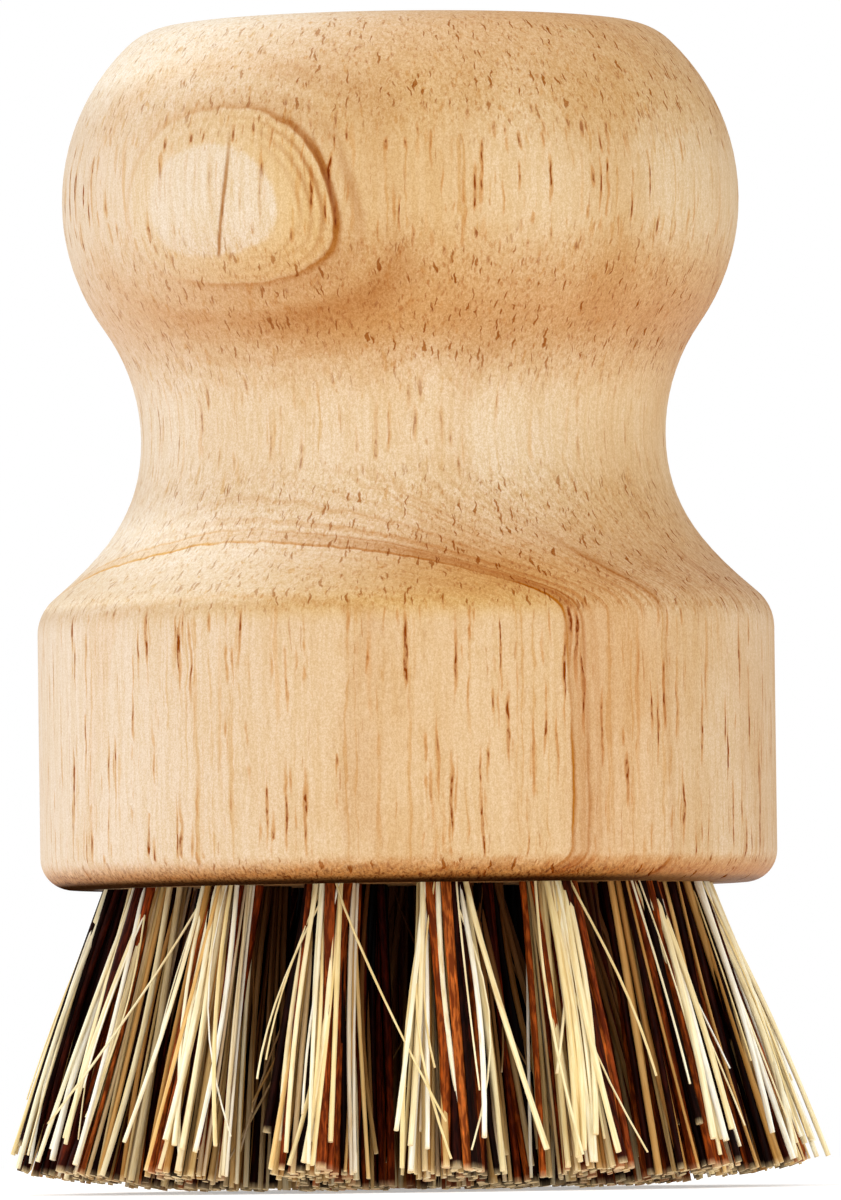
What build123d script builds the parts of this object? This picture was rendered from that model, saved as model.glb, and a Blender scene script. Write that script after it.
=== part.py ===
from build123d import *

import math
import os

# A palm brush: one turned wooden block, held like a knob, with tufts of plant fibre in
# drilled holes in its underside. Each tuft is a bundle of fibres folded over the crown of a
# round wire staple, whose two legs are driven into the wood past the bottom of the hole.
# Millimetres. +Z runs up the turning axis, and the origin is the middle of the trimmed
# fibre ends, which the brush stands on.

# Turned block, from the underside up.
base_diameter = 57.0
base_wall_height = 21.4  # underside to the shoulder's edge, before rounding
flare_height = 13.3  # shoulder's edge to the narrowest place of the neck
knob_rise = 18.4  # narrowest place to the widest place of the knob
crown_height = 14.1  # widest place to the middle of the crown
knob_diameter = 52.4
neck_undercut = 5.9  # how far the neck lies inside the knob's widest place
crown_setback = 6.7  # how far the crown's rim lies inside the knob's widest place
crown_dome = 0.7  # rise of the crown from its rim to its middle
shoulder_slope = 50.5  # degrees between the flare and the turning axis at the shoulder
flare_fullness = 0.46  # length of the flare curve's handles, as a share of its height
neck_share = 0.47  # where the neck's hollow turns into the knob's round, as a share
heel_rounding = 2.5
shoulder_rounding = 3.6
crown_rounding = 5.2

# Drilled holes, in rings around a middle one.
rings = ("center", "inner", "middle", "outer")
ring_starts = (0.0, 38.0, 20.0, 6.6)  # degrees from the front to each ring's first hole
rim_margin = 7.0  # block's edge to the centres of the outer holes
tuft_pitch = 8.6  # wanted distance between holes along a ring
hole_diameter = 4.6
hole_depth = 9.0  # to the end of the full diameter, above the drill point's cone
drill_point_angle = 118.0
splay_apex_height = 82.0  # all hole axes meet this far above the underside

# Fibre tufts.
bristle_height = 23.5  # trimmed ends to the block's underside
tuft_clearance = 0.05  # packed fibres to the wall of the hole
fold_clearance = 0.1  # top of the folded fibres to the bottom of the hole
packed_root_setback = 0.8  # mouth of the hole to where the fibres part
strand_embed = 1.0  # how far a strand reaches into the packed root
core_strands = 5  # strands in the tuft's inner circle, around one in the middle
skin_strands = 8  # strands in the tuft's outer circle
core_strand_width = 0.6
skin_strand_width = 0.8
tuft_tip_gap = 1.2  # free space between neighbouring tufts at their ends
trim_flat_radius = 14.0  # the ends lie in one plane up to here
trim_edge_rise = 1.7  # how much higher the outermost ends are
trim_edge_radius = 31.0  # radius at which that rise is reached

# Wire staples.
wire_diameter = 0.6
wire_bend_radius = 0.6  # to the middle of the wire
staple_wall_gap = 0.25  # outside of a leg to the wall of the hole
leg_bite = 3.0  # how far the legs are driven past the bottom of the hole
leg_fit = 0.02  # leg to the wood it is driven into

GOLDEN_ANGLE = 180.0 * (3.0 - math.sqrt(5.0))

# Sizes worked out from the ones above.
base_radius = base_diameter / 2
knob_radius = knob_diameter / 2
neck_radius = knob_radius - neck_undercut
crown_radius = knob_radius - crown_setback
underside_z = bristle_height
shoulder_z = underside_z + base_wall_height
neck_z = shoulder_z + flare_height
knob_z = neck_z + knob_rise
crown_z = knob_z + crown_height

hole_radius = hole_diameter / 2
outer_ring_radius = base_radius - rim_margin
ring_step = outer_ring_radius / (len(rings) - 1)
splay = (splay_apex_height + bristle_height) / splay_apex_height
steepest_lean = math.atan(outer_ring_radius / splay_apex_height)

wire_radius = wire_diameter / 2
root_radius = hole_radius - tuft_clearance
fold_top = hole_depth - fold_clearance
staple_crown_depth = fold_top - root_radius
leg_offset = hole_radius - staple_wall_gap - wire_radius
leg_tip_depth = hole_depth + leg_bite


def turned_block():
    """The solid block before drilling: one outline turned about Z, then rounded."""
    shoulder = Vector(base_radius, 0, shoulder_z)
    neck = Vector(neck_radius, 0, neck_z)
    knob = Vector(knob_radius, 0, knob_z)
    rim = Vector(crown_radius, 0, crown_z - crown_dome)
    top = Vector(0, 0, crown_z)
    slope = math.radians(shoulder_slope)
    handle = flare_fullness * flare_height
    turn = neck + (knob - neck) * neck_share
    up = Vector(0, 0, 1)
    outline = [
        Line((0, 0, underside_z), (base_radius, 0, underside_z)),
        Line((base_radius, 0, underside_z), shoulder),
        Bezier(
            shoulder,
            shoulder + Vector(-math.sin(slope), 0, math.cos(slope)) * handle,
            neck - up * handle,
            neck,
        ),
        TangentArc(neck, turn, tangent=up),
        TangentArc(knob, turn, tangent=-up),
        TangentArc(knob, rim, tangent=up),
        TangentArc(top, rim, tangent=(1, 0, 0)),
        Line(top, (0, 0, underside_z)),
    ]
    block = revolve(make_face(Wire(outline)), Axis.Z)
    for height, rounding in (
        (underside_z, heel_rounding),
        (shoulder_z, shoulder_rounding),
        (rim.Z, crown_rounding),
    ):
        block = fillet(edge_at(block, height), rounding)
    return block


def edge_at(block, height):
    """The turned block's circular edge at one height."""
    circles = block.edges().filter_by(GeomType.CIRCLE)
    level = [e for e in circles if abs(e.bounding_box().size.Z) < 1e-3]
    return min(level, key=lambda e: abs(e.center().Z - height))


def tuft_places():
    """(ring, number, plane) of each hole. The plane lies in the hole's mouth, with its Z
    up the hole into the wood and its X along the ring. The front is -Y."""
    apex = Vector(0, 0, underside_z + splay_apex_height)
    places = []
    for order, (ring, start) in enumerate(zip(rings, ring_starts)):
        radius = order * ring_step
        count = max(1, round(2 * math.pi * radius / tuft_pitch))
        for number in range(count):
            angle = math.radians(start + 360.0 * number / count - 90.0)
            along = Vector(-math.sin(angle), math.cos(angle), 0)
            mouth = Vector(radius * math.cos(angle), radius * math.sin(angle), underside_z)
            places.append((ring, number + 1, Plane(mouth, x_dir=along, z_dir=apex - mouth)))
    return places


def tip_spacing(places):
    """Least distance between neighbouring tufts' middles at the trimmed ends."""
    mouths = [plane.origin for _, _, plane in places]
    nearest = min((a - b).length for i, a in enumerate(mouths) for b in mouths[:i])
    return nearest * splay


def up_cylinder(radius, low, high, x=0.0):
    """A cylinder along the hole's axis from one depth to another."""
    return Pos(x, 0, low) * Cylinder(radius, high - low, align=(Align.CENTER, Align.CENTER, Align.MIN))


def hole_cutter():
    """What is drilled for one tuft, and what its staple's legs push aside."""
    mouth_overrun = 2 * hole_radius
    point_height = hole_radius / math.tan(math.radians(drill_point_angle / 2))
    bore = up_cylinder(hole_radius, -mouth_overrun, hole_depth)
    point = Pos(0, 0, hole_depth) * Cone(
        hole_radius, 0, point_height, align=(Align.CENTER, Align.CENTER, Align.MIN)
    )
    legs = [
        up_cylinder(wire_radius + leg_fit, hole_depth, leg_tip_depth + leg_fit, side * leg_offset)
        for side in (-1, 1)
    ]
    return bore.fuse(point, *legs)


def bent_wire(radius):
    """The staple's U as a round bar of this radius."""
    path = FilletPolyline(
        (-leg_offset, 0, leg_tip_depth),
        (-leg_offset, 0, staple_crown_depth),
        (leg_offset, 0, staple_crown_depth),
        (leg_offset, 0, leg_tip_depth),
        radius=wire_bend_radius,
    )
    start = Plane((-leg_offset, 0, leg_tip_depth), z_dir=(0, 0, -1))
    return sweep(start * Circle(radius), path=path)


def packed_root():
    """The folded ends of the fibres in the hole: a plug that arches over the staple's crown."""
    straight = up_cylinder(root_radius, packed_root_setback, staple_crown_depth)
    arch_width = 2 * (leg_offset - wire_radius - tuft_clearance)
    arch = Pos(0, 0, staple_crown_depth) * Rot(0, 90, 0) * Cylinder(root_radius, arch_width)
    round_bundle = up_cylinder(root_radius, packed_root_setback, hole_depth)
    return straight.fuse(arch & round_bundle) - bent_wire(wire_radius + tuft_clearance)


def strand_sites(tip_radius):
    """(turn, radius at the hole's mouth, radius at the tip, width) of each strand."""
    skin_root = root_radius - skin_strand_width * math.sqrt(0.5) - tuft_clearance
    sites = [(0.0, 0.0, 0.0, core_strand_width)]
    for count, share, width in (
        (core_strands, 0.52, core_strand_width),
        (skin_strands, 1.0, skin_strand_width),
    ):
        for number in range(count):
            turn = 360.0 * (number + 0.5 * share) / count
            sites.append((turn, share * skin_root, share * tip_radius, width))
    return sites


def strands(tip_radius, twist):
    """One tuft's fibres as straight four-sided strands, which fan out as they leave the hole
    and run on past the trimming surface."""
    start = packed_root_setback + strand_embed
    length = start + 1.25 * bristle_height / math.cos(steepest_lean)
    bars = []
    for turn, at_mouth, at_tip, width in strand_sites(tip_radius):
        spread = (at_tip - at_mouth) / bristle_height
        foot = Pos(at_mouth - spread * start, 0, start) * Rectangle(width, width)
        bar = extrude(foot, amount=length, dir=(spread, 0, -1))
        bars.append(Rot(0, 0, turn + twist) * bar)
    return bars


def trimming_tool():
    """Everything below the trimmed ends: flat in the middle and rising towards the edge."""
    reach = 2 * trim_edge_radius
    depth = 2 * bristle_height
    run = trim_edge_radius - trim_flat_radius
    arc_radius = (run**2 + trim_edge_rise**2) / (2 * trim_edge_rise)
    sweep_angle = math.asin(run / arc_radius) * 1.3
    end = Vector(
        trim_flat_radius + arc_radius * math.sin(sweep_angle),
        0,
        arc_radius * (1 - math.cos(sweep_angle)),
    )
    flat_end = Vector(trim_flat_radius, 0, 0)
    outline = [
        Line((0, 0, 0), flat_end),
        TangentArc(flat_end, end, tangent=(1, 0, 0)),
        Line(end, (reach, 0, end.Z)),
        Line((reach, 0, end.Z), (reach, 0, -depth)),
        Line((reach, 0, -depth), (0, 0, -depth)),
        Line((0, 0, -depth), (0, 0, 0)),
    ]
    return revolve(make_face(Wire(outline)), Axis.Z)


def main():
    os.makedirs("parts", exist_ok=True)
    places = tuft_places()
    skin_half_diagonal = skin_strand_width * math.sqrt(0.5)
    tip_radius = (tip_spacing(places) - tuft_tip_gap) / 2 - skin_half_diagonal

    cutter = hole_cutter()
    block = turned_block().cut(*[plane.location * cutter for _, _, plane in places])
    export_step(block, "parts/handle_block.step")

    root = packed_root()
    staple = bent_wire(wire_radius)
    trim = trimming_tool()
    staples = {}
    for order, (ring, number, plane) in enumerate(places):
        fibres = root.fuse(*strands(tip_radius, order * GOLDEN_ANGLE))
        tuft = (plane.location * fibres) - trim
        name = f"tuft_{ring}" if ring == rings[0] else f"tuft_{ring}_{number:02d}"
        export_step(tuft, f"parts/{name}.step")
        staples.setdefault(ring, []).append(plane.location * staple)
    for ring, wires in staples.items():
        export_step(Compound(wires), f"parts/staples_{ring}.step")

    strand_count = (1 + core_strands + skin_strands) * len(places)
    print(len(places), "tufts,", strand_count, "strands, crown at", round(crown_z, 2))
    print("tuft radius at the ends", round(tip_radius, 2))


main()
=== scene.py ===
import math
import random

import bpy
from mathutils import Matrix, Vector


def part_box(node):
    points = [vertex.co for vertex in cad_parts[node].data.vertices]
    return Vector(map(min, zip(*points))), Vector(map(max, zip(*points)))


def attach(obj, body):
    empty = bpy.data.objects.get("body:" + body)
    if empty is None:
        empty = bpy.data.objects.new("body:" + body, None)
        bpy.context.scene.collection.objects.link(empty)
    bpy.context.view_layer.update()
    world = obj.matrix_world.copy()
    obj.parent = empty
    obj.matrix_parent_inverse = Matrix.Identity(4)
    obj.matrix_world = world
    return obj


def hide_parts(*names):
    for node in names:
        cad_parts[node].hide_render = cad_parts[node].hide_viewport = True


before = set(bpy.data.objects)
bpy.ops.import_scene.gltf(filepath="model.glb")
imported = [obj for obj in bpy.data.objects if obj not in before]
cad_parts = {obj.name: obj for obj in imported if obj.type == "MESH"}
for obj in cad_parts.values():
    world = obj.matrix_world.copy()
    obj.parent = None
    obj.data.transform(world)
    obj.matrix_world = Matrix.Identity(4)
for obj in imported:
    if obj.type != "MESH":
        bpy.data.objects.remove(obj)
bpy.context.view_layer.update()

MM = 0.001

# The photograph: its size in pixels, and what was measured on it.
PHOTO_WIDTH = 841
PHOTO_HEIGHT = 1200
PIXEL = 57.0 * MM / 737.0  # size of a pixel on the object, from the block's diameter
CAMERA_DISTANCE = 1.2  # in m, from the turning axis
HORIZON_ROW = 1085.0
FLOOR_ROW = 1190.0
AXIS_COLUMN = 405.5  # the turning axis at the image's middle row
CAMERA_ROLL = math.radians(-0.75)
SENSOR_WIDTH = 36.0  # in mm, as the lens is
CLIP_DISTANCES = (0.01, 20.0)

# The studio: a wide pale floor, a world that the camera sees white, and soft lights.
FLOOR_RADIUS = 0.4
FLOOR_SIDES = 96
FLOOR_GLOW = 0.38
SEEN_STRENGTH = 1.0
SKY_COLOUR = (0.985, 0.99, 1.0, 1.0)
SKY_STRENGTH = 0.56
LIGHT_TARGET = (0.0, 0.0, 0.045)
LIGHTS = (  # name, place, size in m, power in W
    ("key", (-0.75, -0.55, 0.55), 0.6, 2.6),
    ("front_fill", (0.35, -1.1, 0.35), 0.8, 3.5),
    ("left_rim", (-0.7, 0.3, 0.2), 0.5, 1.0),
    ("right_fill", (0.8, -0.45, 0.12), 0.6, 1.3),
    ("top", (-0.1, 0.0, 1.0), 0.8, 3.4),
)

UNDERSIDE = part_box("handle_block")[0].z


def linear(red, green, blue):
    """A colour given in 0 to 255 as displayed, in linear light with an alpha of 1."""
    parts = []
    for value in (red, green, blue):
        share = value / 255.0
        parts.append(share / 12.92 if share <= 0.04045 else ((share + 0.055) / 1.055) ** 2.4)
    return (*parts, 1.0)


class Shader:
    """A material made of nodes, with short calls for adding and joining them.

    A value is a number, a tuple or another node's output. A mask runs from 0 to 1.
    """

    def __init__(self, name):
        self.material = bpy.data.materials.new(name)
        self.material.use_nodes = True
        self.tree = self.material.node_tree
        self.tree.nodes.clear()
        self.surface = self.add("ShaderNodeBsdfPrincipled")
        output = self.add("ShaderNodeOutputMaterial")
        self.tree.links.new(self.surface.outputs["BSDF"], output.inputs["Surface"])

    def add(self, kind, **settings):
        node = self.tree.nodes.new(kind)
        for name, value in settings.items():
            setattr(node, name, value)
        return node

    def put(self, socket, value):
        """Joins a socket to another node's output, or sets its value."""
        if isinstance(value, bpy.types.NodeSocket):
            self.tree.links.new(value, socket)
        else:
            socket.default_value = value

    def object_place(self):
        return self.add("ShaderNodeTexCoord").outputs["Object"]

    def maths(self, operation, *values, clamp=False):
        node = self.add("ShaderNodeMath", operation=operation, use_clamp=clamp)
        for socket, value in zip(node.inputs, values):
            self.put(socket, value)
        return node.outputs[0]

    def times(self, first, second):
        return self.maths("MULTIPLY", first, second)

    def rest(self, mask):
        """What a mask leaves over."""
        return self.maths("SUBTRACT", 1.0, mask)

    def between(self, mask, start, end):
        """start where a mask is 0 and end where it is 1."""
        return self.maths("MULTIPLY_ADD", mask, end - start, start)

    def thinned(self, value, mask, by):
        """A value, less by a share of it where a mask is 1."""
        return self.times(value, self.between(mask, 1.0, 1.0 - by))

    def step(self, value, low, high):
        """A mask: 0 below low and 1 above high, smooth between them. low may exceed high."""
        node = self.add("ShaderNodeMapRange", interpolation_type="SMOOTHSTEP")
        self.put(node.inputs["Value"], value)
        node.inputs["From Min"].default_value = low
        node.inputs["From Max"].default_value = high
        return node.outputs["Result"]

    def band(self, value, start, end):
        """A mask that sets in between two levels and ends between two others."""
        return self.times(self.step(value, *start), self.step(value, *end))

    def vector(self, operation, *values):
        node = self.add("ShaderNodeVectorMath", operation=operation)
        for socket, value in zip(node.inputs, values):
            self.put(socket, value)
        return node.outputs["Value" if operation in ("DOT_PRODUCT", "LENGTH") else "Vector"]

    def scaled(self, place, factors):
        return self.vector("MULTIPLY", place, factors)

    def split(self, place):
        node = self.add("ShaderNodeSeparateXYZ")
        self.put(node.inputs[0], place)
        return node.outputs

    def joined(self, *parts):
        node = self.add("ShaderNodeCombineXYZ")
        for socket, value in zip(node.inputs, parts):
            self.put(socket, value)
        return node.outputs[0]

    def noise(self, place, pace, detail, roughness=0.5, output="Fac"):
        """Noise round 0.5. pace is how much it varies along each axis, for a unit of place."""
        node = self.add("ShaderNodeTexNoise")
        self.put(node.inputs["Vector"], self.scaled(place, pace))
        node.inputs["Scale"].default_value = 1.0
        node.inputs["Detail"].default_value = detail
        node.inputs["Roughness"].default_value = roughness
        return node.outputs[output]

    def ramp(self, value, stops):
        """Colours along a value from 0 to 1. A stop is (position, colour)."""
        node = self.add("ShaderNodeValToRGB")
        elements = node.color_ramp.elements
        while len(elements) < len(stops):
            elements.new(0.5)
        for element, (position, colour) in zip(elements, stops):
            element.position = position
            element.color = colour
        self.put(node.inputs["Fac"], value)
        return node.outputs["Color"]

    def mix(self, share, first, second, blend="MIX"):
        """The first colour, turned into its blend with the second by a share."""
        node = self.add("ShaderNodeMix", data_type="RGBA", blend_type=blend)
        self.put(node.inputs[0], share)
        self.put(node.inputs[6], first)
        self.put(node.inputs[7], second)
        return node.outputs[2]

    def glazed(self, tone, layers):
        """A tone under layers: (mask, shade), where a shade multiplies what lies below it."""
        for mask, shade in layers:
            tone = self.mix(mask, tone, self.mix(1.0, tone, (*shade, 1.0), "MULTIPLY"))
        return tone

    def bump(self, height, distance, strength):
        node = self.add("ShaderNodeBump")
        node.inputs["Strength"].default_value = strength
        node.inputs["Distance"].default_value = distance
        self.put(node.inputs["Height"], height)
        return node.outputs["Normal"]

    def finish(self, colour, roughness, normal, specular):
        self.put(self.surface.inputs["Base Color"], colour)
        self.put(self.surface.inputs["Roughness"], roughness)
        self.put(self.surface.inputs["Normal"], normal)
        self.put(self.surface.inputs["Specular IOR Level"], specular)
        return self.material


# Wood. Its growth rings are sheets that stand upright, bent round a pith behind the brush,
# so that the knob's belly cuts the outermost ones in nested ovals, the eye. Growth says how
# far out a ring is, where 0 passes through the turning axis. All in mm.
EYE_ANGLE = math.radians(32.5)  # from the front towards the viewer's left
EYE_HEIGHT = 76.6
EYE_REACH = 7.5  # above and below the eye, where the sheets are nearly flat
EYE_TILT = 0.08  # lean of the sheets there, which puts the eye below the knob's widest level
RING_BEND = 0.0142  # 1/mm, from a ring sheet's radius of 35 mm
BEND_AT_EYE = 0.2 * RING_BEND
WANDER_REACH = 1.6
WANDER_AT_EYE = 0.35  # share of the wander that is left at the eye
RIPPLE_REACHES = (0.45, 0.08)  # elsewhere and at the eye
OUTER_RING = 23.6  # the strongest one
RING_SPAN = 60.0  # growth that the colour ramps cover, half of it on each side of the axis
TURNED_RADIUS = 26.0  # at which distances round the axis are true

# Late wood: (edge of the ring, width of the band inside it, blur of its edge, how dark in the
# base, in the knob).
LATE_LINES = (
    (27.9, 0.5, 0.06, 0.22, 0.0),
    (25.56, 0.12, 0.06, 0.0, 0.14),
    (25.36, 0.12, 0.06, 0.0, 0.24),
    (25.14, 0.14, 0.06, 0.0, 0.36),
    (24.88, 0.24, 0.05, 0.0, 1.0),
    (24.35, 0.40, 0.20, 0.0, 0.2),
    (OUTER_RING, 0.26, 0.06, 1.0, 0.0),
    (OUTER_RING - 0.72, 0.24, 0.06, 0.62, 0.0),
    (-12.0, 0.4, 0.06, 0.45, 0.40),
    (-19.5, 0.4, 0.06, 0.40, 0.60),
)
LATE_BANDS = (
    (24.88, 1.1, 0.2, 0.0, 0.52),
    (OUTER_RING, 1.5, 0.06, 0.65, 0.0),
    (OUTER_RING, 2.0, 0.7, 0.0, 0.75),
    (17.6, 1.3, 0.2, 0.80, 0.10),
    (17.5, 0.4, 0.1, 0.50, 0.0),
    (13.2, 0.5, 0.15, 0.45, 0.0),
    (8.0, 2.0, 0.3, 0.35, 0.30),
    (-3.0, 1.6, 0.3, 0.45, 0.40),
    (-12.0, 2.4, 0.1, 0.65, 0.50),
    (-19.5, 1.4, 0.1, 0.50, 0.60),
)

# The levels at which a mask is 0 and at which it is 1, or two such pairs, where it sets in
# and where it ends. Right is towards +X. Rise is 1 where the surface faces up and -1 where it
# faces down.
KNOB_HEIGHTS = (60.0, 66.0)
WAIST_HEIGHTS = ((47.0, 51.0), (66.0, 62.5))
SHOULDER_HEIGHTS = ((42.8, 44.8), (49.5, 46.0))
HEEL_HEIGHTS = (UNDERSIDE / MM + 1.9, UNDERSIDE / MM + 0.4)
EDGE_RADII = (25.0, 26.6)
UNDER_RADII = (22.5, 24.5)
RIGHT_PLACES = (6.0, 20.0)
FAR_RIGHT_PLACES = (12.0, 24.0)
BEYOND_EYE_PLACES = (-5.0, 8.0)  # sideways of the eye's direction
# Painted haze of the key light: it sets in towards the left.
KEY_HAZE_PLACES = (0.0, -28.0)
KEY_HAZE_TOP_SHIFT = 12.0  # how much further right the painted haze of the key light reaches on tops facing up
SLOPE_RISES = (0.10, 0.42)  # up or down
ABOVE_RISES = (0.25, 0.95)
BELOW_RISES = (-0.08, -0.75)
CROWN_RISES = (0.80, 0.97)
RIM_RISES = (-0.40, -0.92)
UNDER_RISES = (-0.74, -0.95)
PALE_GROWTHS = (25.64, 25.78)
PALE_LEAN = -0.032  # growth by which the pale core of the eye is off, for a mm sideways
GILDED_GROWTHS = (24.8, 25.1)
SHEET_GROWTHS = (
    (OUTER_RING - 5.0, OUTER_RING - 0.5),
    (OUTER_RING + 0.1, OUTER_RING - 0.1),
)

# Tones of the bare wood, those in a ramp from the innermost growth to the outermost.
BASE_TONES = (
    (0.0, linear(214, 183, 148)),
    (0.35, linear(220, 192, 156)),
    (0.55, linear(219, 195, 168)),
    (0.75, linear(220, 196, 166)),
    (0.84, linear(220, 188, 150)),
    (0.888, linear(212, 175, 134)),
    (0.897, linear(220, 190, 151)),
    (1.0, linear(218, 189, 152)),
)
KNOB_TONES = (
    (0.0, linear(218, 190, 154)),
    (0.55, linear(224, 202, 172)),
    (0.80, linear(224, 197, 160)),
    (0.86, linear(216, 182, 135)),
    (0.92, linear(222, 193, 152)),
    (1.0, linear(223, 196, 156)),
)
PALE_TONE = linear(233, 219, 201)
WAIST_TONE = linear(235, 217, 192)
# Painted haze of the key light on the left side, paler where the surface faces up.
KEY_HAZE_TONE = linear(230, 217, 205)
TOP_KEY_HAZE_TONE = linear(252, 244, 233)
TANNED_TONE = linear(212, 162, 108)
# Darker brown on downward faces: partly end grain, partly painted shade.
DOWNWARD_GRAIN_AND_SHADE_TONE = linear(198, 140, 74)
# On the base's lower rounding and its downward faces: partly end grain, partly painted shade.
HEEL_GRAIN_AND_SHADE_TONE = linear(198, 141, 74)
RIM_GRAIN_AND_SHADE_TONE = linear(128, 78, 36)
# Painted shadow, near black, on the underside strip around the tufts.
UNDER_SHADOW_TONE = linear(34, 15, 6)

# Noise in the wood: (pace along each axis, for a mm; detail; roughness), and the levels of it
# at which a mask is 0 and 1.
WANDER_NOISE = ((0.05, 0.05, 0.03), 1.0, 0.5)
RIPPLE_NOISE = ((0.6, 0.6, 0.22), 3.0, 0.5)
UNEVEN_NOISE = ((0.16, 0.16, 0.12), 2.0, 0.5)
UNEVEN_LEVELS = (0.36, 0.56)
SHEET_NOISE = ((2.4, 1.0, 0.02), 3.0, 0.6)  # across growth, and up
SHEET_LEVELS = (0.46, 0.62)
CLOUD_NOISE = ((0.13, 0.13, 0.06), 4.0, 0.5)
CLOUD_LEVELS = (0.42, 0.75)
STREAK_NOISE = ((2.6, 2.6, 0.10), 4.0, 0.6)
STREAK_LEVELS = (0.58, 0.40)
MOTTLE_NOISE = ((5.0, 5.0, 3.2), 3.0, 0.7)
MOTTLE_LEVELS = (0.60, 0.40)
GRIT_NOISE = ((10.0, 10.0, 8.0), 1.0, 0.5)
GRIT_LEVELS = (0.58, 0.42)
THREAD_NOISE = ((1.9, 1.9, 0.022), 2.0, 0.5)
THREAD_LEVELS = (0.61, 0.71)
HATCH_NOISE = ((4.5, 4.5, 1.6), 3.0, 0.65)
DARK_HATCH_LEVELS = (0.50, 0.64)
LIGHT_HATCH_LEVELS = (0.50, 0.36)
BREAK_NOISE = ((3.0, 3.0, 1.2), 2.0, 0.5)
BREAK_LEVELS = (0.42, 0.56)

# How far the grain swerves: (distances across and along it over which it does, width).
GRAIN_SWERVE = ((1.1, 3.0), 0.7)
CURL_SWERVE = ((0.8, 0.9), 0.85)

# Vessels cut open: (size of a cell along each axis, reach of the smallest and the largest
# vessel in it), with the depths in them, in widths of a cell, at which a mask is 0 and 1.
LONG_VESSELS = ((0.48, 0.48, 9.6), (-0.06, 0.165))
CORE_DEPTHS = (0.0, 0.12)
HALO_DEPTHS = (-0.20, 0.02)
FLAMES = ((0.70, 0.70, 22.0), (-0.05, 0.25))
FLAME_DEPTHS = (-0.10, 0.14)
FINE_VESSELS = ((0.36, 0.36, 8.0), (-0.06, 0.10))
FINE_DEPTHS = (0.0, 0.12)
HOOKS = ((0.34, 1.7, 1.7), (-0.02, 0.14))
HOOK_DEPTHS = (0.0, 0.12)
SCALES = ((0.23, 0.8, 0.66), (0.0, 0.11))
SCALE_DEPTHS = (0.0, 0.13)
DOTS = ((0.42, 0.42, 1.8), (0.0, 0.15))
DOT_DEPTHS = (0.0, 0.16)

# The long vessel that runs down through the eye.
EYE_VESSEL_X = -13.35  # at the eye's height
EYE_VESSEL_LEAN = 0.106
EYE_VESSEL_RIPPLE = 0.5
EYE_VESSEL_WIDTHS = (0.22, 0.04)
EYE_VESSEL_HEIGHTS = ((82.5, 77.0), (71.0, 71.6))
EYE_VESSEL_SIDE = (0.0, -5.0)  # it shows at the front only

WOOD_BUMP = 0.07 * MM


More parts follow.
